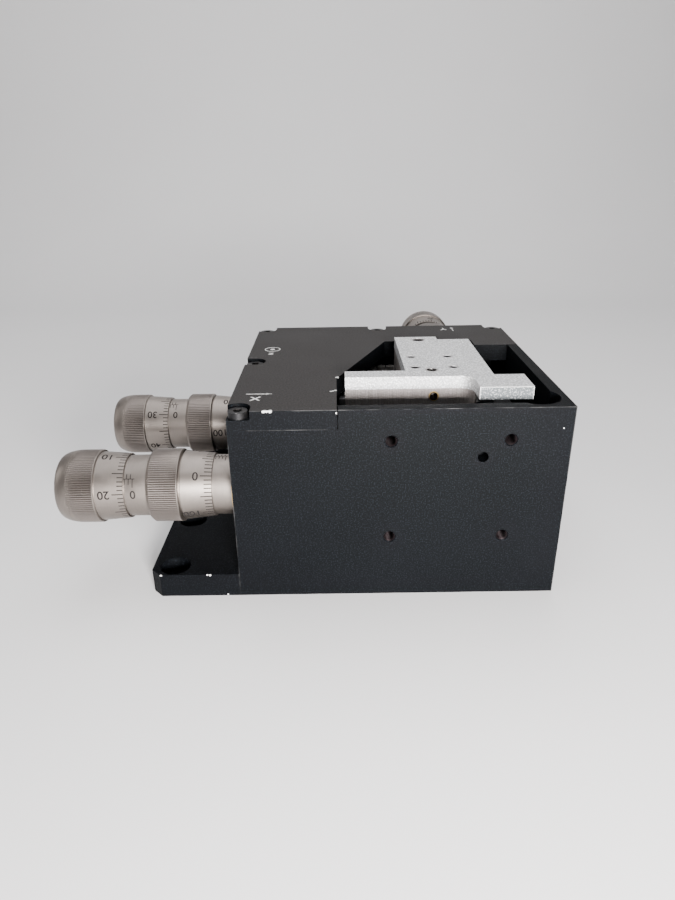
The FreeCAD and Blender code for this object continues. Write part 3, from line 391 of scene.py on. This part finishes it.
# Near-black thread ridges for every tapped hole and insert: black like the housing's anodising, and
# painted shade down the holes in the pale platform and in the inserts.
DARK_AND_SHADED_THREAD = metal("black_and_shaded_thread", (0.009, 0.005, 0.006), 0.3, 3.0, dirt=(0.02, 0.02, 0.02), metallic=0.8)

for part in frame["record"]["subparts"]:
    node = part["node"]
    finish = FINISHES.get(node, BY_SLOT[part["material_slot"]])
    if part["material_slot"] == "micrometer_steel":
        finish = DRIVE_STEEL[node[0]]
    for place in frame["nodes"][node].material_slots:
        place.material = finish


# Meshes --------------------------------------------------------------------------------


def piece(name, shape, body, finish, sharp=32):
    """Makes an object of a bmesh given in millimetres, and lets it ride on a body."""
    mesh = bpy.data.meshes.new(name)
    bmesh.ops.scale(shape, vec=(MM, MM, MM), verts=shape.verts)
    shape.to_mesh(mesh)
    shape.free()
    mesh.shade_smooth()
    mesh.set_sharp_from_angle(angle=math.radians(sharp))
    thing = bpy.data.objects.new(name, mesh)
    bpy.context.collection.objects.link(thing)
    mesh.materials.append(finish)
    if body:
        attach(thing, body)
    return thing


def box_between(shape, corners, steps, at):
    """A thin box in a surface's own coordinates, cut into steps along the second one."""
    (u0, v0, w0), (u1, v1, w1) = corners
    rings = []
    for step in range(steps + 1):
        v = v0 + (v1 - v0) * step / steps
        rings.append([shape.verts.new(at(u, v, w)) for u, w in ((u0, w0), (u1, w0), (u1, w1), (u0, w1))])
    for ring, after in zip(rings, rings[1:]):
        for side in range(4):
            shape.faces.new((ring[side], ring[side - 1], after[side - 1], after[side]))
    shape.faces.new(rings[0])
    shape.faces.new(rings[-1][::-1])


def lettering(shape, text, height, at):
    """Adds text to a bmesh: at(x, y, z) places a point of it, in millimetres."""
    curve = bpy.data.curves.new("letters", "FONT")
    curve.body = text
    curve.size = height / DIGIT_HEIGHT
    curve.extrude = INK_DEPTH
    curve.offset = INK_BOLD
    curve.align_y = "CENTER"
    letters = bpy.data.objects.new("letters", curve)
    mesh = bpy.data.meshes.new_from_object(letters)
    bpy.data.objects.remove(letters)
    bpy.data.curves.remove(curve)
    glyphs = bmesh.new()
    glyphs.from_mesh(mesh)
    bpy.data.meshes.remove(mesh)
    for cut in range(-SLICES, SLICES + 1):
        every = glyphs.verts[:] + glyphs.edges[:] + glyphs.faces[:]
        level = (0, cut * height / SLICES / 2, 0)
        bmesh.ops.bisect_plane(glyphs, geom=every, plane_co=level, plane_no=(0, 1, 0))
    made = {vert: shape.verts.new(at(*vert.co)) for vert in glyphs.verts}
    for face in glyphs.faces:
        shape.faces.new([made[vert] for vert in face.verts])
    glyphs.free()


DIGIT_HEIGHT = 0.7
LET_IN = 0.04
STANDING = 0.014
INK_DEPTH = 0.02
INK_BOLD = 0.05
SLICES = 4


# Drives --------------------------------------------------------------------------------

KNURL_TEETH = 100
KNURL_DEPTH = 0.32
TOOTH = (0.0, 0.1, 1.0, 0.1)
KNURL_SHOWS = 0.3
ROUND = KNURL_TEETH * len(TOOTH)


def cone(edge, end):
    """The radius of a tapering surface at a distance from the wall."""
    (low, low_radius), (high, high_radius) = edge, end
    slope = (high_radius - low_radius) / (high - low)
    return lambda distance: low_radius + slope * (min(max(distance, low), high) - low)


# Distances out from the wall, measured on the front drive.
COARSE_START, FINE_SLEEVE_END = -across("x_coarse_thimble")[1].x, -across("x_coarse_thimble")[0].x
HUB_START, KNOB_END = -across("x_fine_thimble")[1].x, -across("x_fine_thimble")[0].x
FINE_START = HUB_START + 1.8
COARSE_SCALE_END = COARSE_START + 9.1
FINE_SCALE_END = FINE_START + 8.4
GROOVE_END = COARSE_SCALE_END + 0.6
COARSE_KNURL_END = GROOVE_END + 9.5
WEB_START = COARSE_KNURL_END + 1.2
WEB_END = WEB_START + 2
DISH_FLOOR, FACE_BACK = KNOB_END - 0.2, KNOB_END - 4

# Radii.
SLEEVE, FINE_SLEEVE = 9.1, 9.3
BORE, FINE_CLEAR = SLEEVE + 0.12, FINE_SLEEVE + 0.12
NECK_BORE, FINE_BORE = 8.1, 7.6
WEB_BORE, SCREW_BORE, HUB = 2.7, 2.6, 5.0
GROOVE, TAPER_TOP, KNURL = 9.9, 10.5, 11.1
DISH = 7.6
COARSE_TAPER = ((COARSE_START, 9.55), (COARSE_SCALE_END, TAPER_TOP))
FINE_TAPER = ((FINE_START, 9.85), (FINE_SCALE_END, TAPER_TOP))
COARSE_CONE, FINE_CONE = cone(*COARSE_TAPER), cone(*FINE_TAPER)

# The knob's rounded end: how far it runs back, how far it comes in, and its steps.
ROUND_BACK, ROUND_IN, ROUND_STEPS = 6.2, 2.3, 8

# Each profile point is radius, distance from the wall, and how deep its knurl is.
COARSE_PROFILE = [
    (BORE, COARSE_START + 0.02, 0),
    (COARSE_TAPER[0][1] - 0.1, COARSE_START + 0.02, 0),
    (COARSE_CONE(COARSE_START + 0.12), COARSE_START + 0.12, 0),
    (TAPER_TOP, COARSE_SCALE_END - 0.01, 0),
    (GROOVE, COARSE_SCALE_END, 0),
    (GROOVE, GROOVE_END, 0),
    (KNURL - 0.3, GROOVE_END, 0),
    (KNURL - 0.02, GROOVE_END + 0.25, 0),
    (KNURL, GROOVE_END + 0.45, 0),
    (KNURL, GROOVE_END + 0.6, 1),
    (KNURL, COARSE_KNURL_END - 0.9, 1),
    (KNURL - 0.15, COARSE_KNURL_END - 0.7, 0.6),
    (KNURL - 0.75, COARSE_KNURL_END - 0.05, 0),
    (FINE_SLEEVE, COARSE_KNURL_END, 0),
    (FINE_SLEEVE, FINE_SLEEVE_END - 0.1, 0),
    (FINE_SLEEVE - 0.1, FINE_SLEEVE_END, 0),
    (FINE_BORE, FINE_SLEEVE_END, 0),
    (FINE_BORE, WEB_END, 0),
    (WEB_BORE, WEB_END, 0),
    (WEB_BORE, WEB_START, 0),
    (NECK_BORE, WEB_START, 0),
    (NECK_BORE, COARSE_SCALE_END + 1.3, 0),
    (BORE, COARSE_SCALE_END + 1.3, 0),
]
KNOB_OUTSIDE = [
    (FINE_CLEAR, FINE_START + 0.02, 0),
    (FINE_TAPER[0][1] - 0.1, FINE_START + 0.02, 0),
    (FINE_CONE(FINE_START + 0.12), FINE_START + 0.12, 0),
    (TAPER_TOP, FINE_SCALE_END, 0),
    (KNURL - 0.24, FINE_SCALE_END, 0),
    (KNURL - 0.02, FINE_SCALE_END + 0.2, 0),
    (KNURL, FINE_SCALE_END + 0.4, 0),
    (KNURL, FINE_SCALE_END + 0.55, 1),
    (KNURL, KNOB_END - ROUND_BACK, 1),
]
KNOB_END_ROUND = [
    (
        KNURL - ROUND_IN * (1 - math.cos(step * TURN / 4 / ROUND_STEPS)),
        KNOB_END - ROUND_BACK * (1 - math.sin(step * TURN / 4 / ROUND_STEPS)),
        max(0, 1 - step / 2.5),
    )
    for step in range(1, ROUND_STEPS + 1)
]
KNOB_INSIDE = [
    (DISH, KNOB_END, 0),
    (DISH - 0.2, DISH_FLOOR, 0),
    (0, DISH_FLOOR, 0),
    (0, FACE_BACK, 0),
    (SCREW_BORE, FACE_BACK, 0),
    (SCREW_BORE, WEB_START + 3.7, 0),
    (HUB, WEB_START + 3.7, 0),
    (HUB, FINE_SLEEVE_END + 2, 0),
    (FINE_CLEAR, FINE_SLEEVE_END + 2, 0),
]
FINE_PROFILE = KNOB_OUTSIDE + KNOB_END_ROUND + KNOB_INSIDE


class Drive:
    """A drive's own frame: distance out from the wall, turn about the axis, and radius."""

    def __init__(self, name, outward, front):
        self.name = name
        self.outward, self.front = Vector(outward), Vector(front)
        self.up = Vector((0, 0, 1))
        low, high = across(f"{name}_washer")
        middle = (low + high) / 2
        thickness = abs((high - low).dot(self.outward))
        self.wall = middle - self.outward * thickness / 2

    def at(self, distance, turn, radius):
        around = self.front * math.cos(turn) + self.up * math.sin(turn)
        return self.wall + self.outward * distance + around * radius

    def lathe(self, profile):
        """The shape that a profile makes round the axis; its knurled faces take the second finish."""
        shape = bmesh.new()
        rings, knurled = [], []
        for radius, distance, knurl in profile:
            if radius == 0:
                rings.append([shape.verts.new(self.at(distance, 0, 0))] * ROUND)
                continue
            ring = []
            for step in range(ROUND):
                tooth = TOOTH[step % len(TOOTH)]
                depth = KNURL_DEPTH * knurl * tooth
                ring.append(shape.verts.new(self.at(distance, step * TURN / ROUND, radius - depth)))
            rings.append(ring)
            if knurl > KNURL_SHOWS:
                knurled.append(ring)
        for ring, after in zip(rings, rings[1:] + rings[:1]):
            for step in range(ROUND):
                corners = (ring[step - 1], ring[step], after[step], after[step - 1])
                face = list(dict.fromkeys(corners))
                if len(face) > 2:
                    shape.faces.new(face).material_index = int(ring in knurled and after in knurled)
        bmesh.ops.recalc_face_normals(shape, faces=shape.faces)
        return shape

    def line(self, shape, start, end, turn, width, radius):
        """A line along the drive, let into a surface whose radius depends on distance."""
        half = width / 2
        for low, high in ((start, (start + end) / 2), ((start + end) / 2, end)):
            corners = ((low, -half, -LET_IN), (high, half, STANDING))
            box_between(shape, corners, 1, lambda d, v, w: self.at(d, turn + v / radius(d), radius(d) + w))

    def arc(self, shape, distance, start, end, width, radius):
        """A line round the drive, from one turn to another."""
        corners = ((distance - width / 2, start, -LET_IN), (distance + width / 2, end, STANDING))
        box_between(shape, corners, 6, lambda d, v, w: self.at(d, v, radius(d) + w))

    def digits(self, shape, text, distance, turn, height, radius):
        """Text that reads along the drive and is wrapped round it."""
        def place(x, y, z):
            far = distance + x
            return self.at(far, turn - y / radius(far), radius(far) + z - INK_DEPTH + 0.016)
        lettering(shape, text, height, place)


TICK, LADDER = 0.3, 0.22
LINES, LINE_TURN = 50, 7.2
DIGITS_AT, DIGITS, ZERO_DIGIT = 3.9, 2.5, 2.4


def thimble_scale(drive, shape, taper, zero, labels, short, long):
    """Fifty lines round a thimble's edge, longer at each fifth, with a number at each tenth."""
    radius, edge = cone(*taper), taper[0][0]
    for division in range(LINES):
        turn = math.radians(zero - division * LINE_TURN)
        reach = long if division % 5 == 0 else short
        drive.line(shape, edge + 0.12, edge + reach, turn, TICK, radius)
        if division % 10 == 0:
            drive.digits(shape, str(division // 10 * labels), edge + DIGITS_AT, turn, DIGITS, radius)


def sleeve_scale(drive, shape, sleeve, datum, zero, count, pitch, outer):
    """A datum line with a ladder of lines across it, on alternate sides."""
    turn = math.radians(datum)
    drive.line(shape, zero - 0.6, outer, turn, LADDER, lambda distance: sleeve)
    for step in range(count):
        at = zero + step * pitch / 2
        below = step % 2 == 0
        reach = 1.65 if below else 1.45
        if step == 0:
            reach = 2.6
        other = turn - reach / sleeve if below else turn + reach / sleeve
        drive.arc(shape, at, min(turn, other), max(turn, other), LADDER, lambda distance: sleeve)


DRIVES = [
    # frame of the drive, then the turns in degrees: fine zero, fine datum, coarse zero, sleeve datum
    (Drive("x", (-1, 0, 0), (0, -1, 0)), 154.6, 37.6, 40.7, 92.0),
    (Drive("y", (0, 1, 0), (-1, 0, 0)), 100.0, 64.0, 70.0, 84.0),
    (Drive("z", (-1, 0, 0), (0, -1, 0)), 256.4, 69.6, 72.0, 100.0),
]

for drive, fine_zero, fine_datum, coarse_zero, sleeve_datum in DRIVES:
    steel = DRIVE_STEEL[drive.name]
    for part, profile in (("coarse", COARSE_PROFILE), ("fine", FINE_PROFILE)):
        body = f"{drive.name}_{part}"
        thimble = piece(f"{body}_knob", drive.lathe(profile), body, steel, 24)
        thimble.data.materials.append(KNURL_SHADED[drive.name])
        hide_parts(f"{body}_thimble")
    marks = bmesh.new()
    thimble_scale(drive, marks, FINE_TAPER, fine_zero, 10, 1.8, 3.3)
    piece(f"{drive.name}_fine_scale", marks, f"{drive.name}_fine", DARK_INK)
    marks = bmesh.new()
    thimble_scale(drive, marks, COARSE_TAPER, coarse_zero, 100, 2.3, 3.4)
    zero = FINE_START - 2.6
    sleeve_scale(drive, marks, FINE_SLEEVE, fine_datum, zero, 9, 1.15, FINE_START + 2.2)
    beside = math.radians(fine_datum) - 4.6 / FINE_SLEEVE
    drive.digits(marks, "0", zero - 0.85, beside, ZERO_DIGIT, lambda distance: FINE_SLEEVE)
    piece(f"{drive.name}_coarse_scale", marks, f"{drive.name}_coarse", DARK_INK)
    marks = bmesh.new()
    zero = COARSE_START - 3.4
    sleeve_scale(drive, marks, SLEEVE, sleeve_datum, zero, 13, 1.0, COARSE_START + 3.2)
    piece(f"{drive.name}_sleeve_scale", marks, "housing", DARK_INK)


# Marks on the cover --------------------------------------------------------------------


UPSIDE_DOWN = math.pi
PAINT = 0.02


def on_cover(point, turn):
    """A function that puts flat marks on the cover's top, turned about a point."""
    spin = Matrix.Rotation(turn, 2)

    def place(x, y, z):
        flat = spin @ Vector((x, y))
        return Vector((point[0] + flat.x, point[1] + flat.y, COVER[1].z + z))
    return place


def bar(shape, start, end, width):
    """A painted stroke between two points of the cover's top."""
    start, end = Vector(start), Vector(end)
    length = (end - start).length
    place = on_cover(start, math.atan2(end.y - start.y, end.x - start.x))
    box_between(shape, ((0, -width / 2, -PAINT), (length, width / 2, PAINT)), 1, place)


def arrow(shape, start, end):
    """A stroke with a solid head."""
    start, end = Vector(start), Vector(end)
    back = (start - end).normalized() * 1.7
    bar(shape, start, end, 0.3)
    side = Vector((-back.y, back.x)) * 0.42
    tip = [(end, end + back + side, end + back - side), (end, end + back - side, end + back + side)]
    for level, points in zip((PAINT, -PAINT), tip):
        shape.faces.new([shape.verts.new((*point, COVER[1].z + level)) for point in points])


def ring(shape, centre, radius, width, steps):
    """A painted ring, or a dot where its width is twice its radius."""
    place = on_cover(centre, 0)
    box_between(
        shape,
        ((radius - width / 2, 0, -PAINT), (radius + width / 2, TURN, PAINT)),
        steps,
        lambda r, v, z: place(r * math.cos(v), r * math.sin(v), z),
    )


cover_marks = bmesh.new()
arrow(cover_marks, (4.2, 14.0), (11.6, 14.0))
lettering(cover_marks, "X", 2.9, on_cover((8.6, 10.2), UPSIDE_DOWN))
ring(cover_marks, (7.6, 62.2), 2.6, 0.3, 36)
ring(cover_marks, (7.6, 62.2), 0.4, 0.8, 12)
lettering(cover_marks, "Z", 1.9, on_cover((8.4, 56.6), UPSIDE_DOWN))
arrow(cover_marks, (75.6, 85.2), (75.6, 91.0))
lettering(cover_marks, "Y", 2.9, on_cover((73.4, 88.6), UPSIDE_DOWN))
piece("cover_marks", cover_marks, "housing", WHITE_PAINT)


# Threads in the tapped holes -----------------------------------------------------------


def thread(name, body, mouth, inward, radius, length, pitch):
    """A helical ridge standing in from a hole's wall."""
    steps_each, depth = 20, 0.55 * pitch
    inward = Vector(inward)
    side = inward.orthogonal().normalized()
    other = inward.cross(side)
    shape = bmesh.new()
    rings = []
    for step in range(int((length - pitch) / pitch * steps_each) + 1):
        turn = step * TURN / steps_each
        along = step * pitch / steps_each + 0.15 * pitch
        out = side * math.cos(turn) + other * math.sin(turn)
        middle = Vector(mouth) + inward * (along + pitch * 0.4)
        section = ((radius + 0.03, -0.4 * pitch), (radius - depth, 0), (radius + 0.03, 0.4 * pitch))
        rings.append([shape.verts.new(middle + out * r + inward * a) for r, a in section])
    for ring, after in zip(rings, rings[1:]):
        for corner in range(3):
            shape.faces.new((ring[corner - 1], ring[corner], after[corner], after[corner - 1]))
    shape.faces.new(rings[0])
    shape.faces.new(rings[-1][::-1])
    bmesh.ops.recalc_face_normals(shape, faces=shape.faces)
    piece(name, shape, body, DARK_AND_SHADED_THREAD)


HOLE_THREADS = (("face_holes", "housing", 6.5, 0.7), ("deck_holes", "platform", 3.6, 0.5))
for name, body, length, pitch in HOLE_THREADS:
    mount = MOUNTS[name]
    inward = [-part for part in mount["axis"]]
    for number, hole in enumerate(pattern(mount)):
        thread(f"{name}_thread_{number}", body, hole, inward, mount["dims"]["hole_r_mm"], length, pitch)
rear_mouth = REAR_HOLE + Vector((0, 0, 2.8))
thread("deck_rear_thread_ridge", "platform", rear_mouth, (0, 0, -1), 2.1, 5.6, 0.8)
deck_mouth = Vector(MOUNTS["deck_insert_thread"]["pos_m"]) / MM + Vector((0, 0, 2))
thread("deck_insert_ridge", "platform", deck_mouth, (0, 0, -1), 1.55, 4.0, 0.5)
thread("front_insert_ridge", "platform", FRONT_INSERT, (0, 1, 0), 1.05, 4.0, 0.4)


# Leaf springs and coil springs ---------------------------------------------------------


def bending(name, node, start, end, slices, keep=None):
    """A copy of a spring's mesh, cut into slices along the line between two points."""
    shape = bmesh.new()
    shape.from_mesh(frame["nodes"][node].data)
    bmesh.ops.scale(shape, vec=(1 / MM,) * 3, verts=shape.verts)
    start, end = Vector(start), Vector(end)
    if keep:
        axis, low, high = keep
        outside = [vert for vert in shape.verts if not low <= vert.co[axis] <= high]
        bmesh.ops.delete(shape, geom=outside, context="VERTS")
    way = (end - start).normalized()
    for cut in range(slices + 1) if slices else ():
        every = shape.verts[:] + shape.edges[:] + shape.faces[:]
        bmesh.ops.bisect_plane(shape, geom=every, plane_co=start.lerp(end, cut / slices), plane_no=way)
    spring = piece(name, shape, None, BY_SLOT["spring_steel"])
    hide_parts(node)
    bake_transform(spring)


bending("x_leaf_blades", "x_leaves", (55, 44, 13), (55, 44, 30), 18)
bending("y_leaf_blades", "y_leaves", (55, 37, 26.5), (55, 37, 46), 18)
bending(
    "z_leaf_blades_left", "z_leaves",
    (35.5, 39, 44), (46, 39, 44), 12, (0, 0, 55),
)
bending(
    "z_leaf_blades_right", "z_leaves",
    (75.5, 39, 44), (65, 39, 44), 12, (0, 55, 99),
)
low, high = across("x_return_spring")
bending("x_spring_coil", "x_return_spring", (high.x, 39, 29), (low.x, 39, 29), 0)
low, high = across("y_return_spring")
bending(
    "y_spring_coil", "y_return_spring",
    (70, low.y, 44), (70, high.y, 44), 0,
)
low, high = across("z_return_springs")
bending(
    "z_spring_coils", "z_return_springs",
    (50, 24, low.z), (50, 24, high.z), 0,
)


# Camera, floor and light ---------------------------------------------------------------

PITCH, YAW, ROLL = 24.05, 0.12, 0.87
LENS = 26.25
EYE = Vector((30.59, -165.61, 122.11))

view = bpy.data.cameras.new("camera")
view.lens = LENS
view.clip_start, view.clip_end = 0.01, 20
camera = bpy.data.objects.new("camera", view)
bpy.context.collection.objects.link(camera)
aim = Matrix.Rotation(math.radians(YAW), 4, "Z") @ Matrix.Rotation(math.radians(-PITCH), 4, "X")
level = Matrix.Rotation(math.radians(ROLL), 4, "Y") @ Matrix.Rotation(math.radians(90), 4, "X")
camera.matrix_world = Matrix.Translation(EYE * MM) @ aim @ level
bpy.context.scene.camera = camera


def sweep():
    """A pale sheet that lies flat under the part and curves up behind it."""
    half, front, back, bend, top = 1.6, -1.0, 0.42, 0.3, 1.8
    outline = [(front, 0.0), (-0.4, 0.0), (0.0, 0.0), (0.2, 0.0)]
    outline += [
        (back + bend * math.sin(step * TURN / 64), bend * (1 - math.cos(step * TURN / 64)))
        for step in range(17)
    ]
    outline.append((back + bend, top))
    shape = bmesh.new()
    rows = [[shape.verts.new((x, y, z)) for x in (-half, -0.4, 0.4, half)] for y, z in outline]
    for row, after in zip(rows, rows[1:]):
        for side in range(3):
            shape.faces.new((row[side], row[side + 1], after[side + 1], after[side]))
    mesh = bpy.data.meshes.new("sheet")
    shape.to_mesh(mesh)
    shape.free()
    mesh.shade_smooth()
    sheet = bpy.data.objects.new("sheet", mesh)
    bpy.context.collection.objects.link(sheet)
    finish = Finish("pale_card")
    tone = finish.noise(0.01, 3.0)
    fibre = finish.noise(1.2, 3.0)
    base = finish.mix(tone, (0.70, 0.695, 0.695), (0.74, 0.735, 0.735))
    mesh.materials.append(finish.done(base, 0.6 + tone * 0.1, finish.bump(fibre, 0.01, 0.3), 0.0))


def lamp(name, place, aim, size, power, tint):
    light = bpy.data.lights.new(name, "AREA")
    light.shape = "RECTANGLE"
    light.size, light.size_y = size
    light.energy = power
    light.color = tint
    thing = bpy.data.objects.new(name, light)
    bpy.context.collection.objects.link(thing)
    thing.location = place
    thing.rotation_euler = (Vector(place) - Vector(aim)).to_track_quat("Z", "Y").to_euler()


sweep()
lamp("key", (0.10, -0.32, 0.10), (0.03, 0.06, 0.03), (0.09, 0.09), 6.2, (1.0, 0.972, 0.96))
lamp("overhead", (0.00, -0.04, 0.95), (0.02, 0.03, 0.0), (1.0, 0.8), 6.5, (0.98, 0.98, 1.0))
lamp("left_card", (-0.75, 0.05, 0.35), (-0.03, 0.04, 0.03), (0.4, 0.5), 1.2, (1.0, 0.97, 0.95))
lamp("back_card", (0.05, 0.36, 0.62), (0.02, 0.12, 0.03), (0.5, 0.3), 2.0, (0.98, 0.98, 1.0))

world = bpy.data.worlds.new("studio")
world.use_nodes = True
world.node_tree.nodes["Background"].inputs["Color"].default_value = (0.93, 0.93, 0.94, 1.0)
world.node_tree.nodes["Background"].inputs["Strength"].default_value = 0.10
bpy.context.scene.world = world
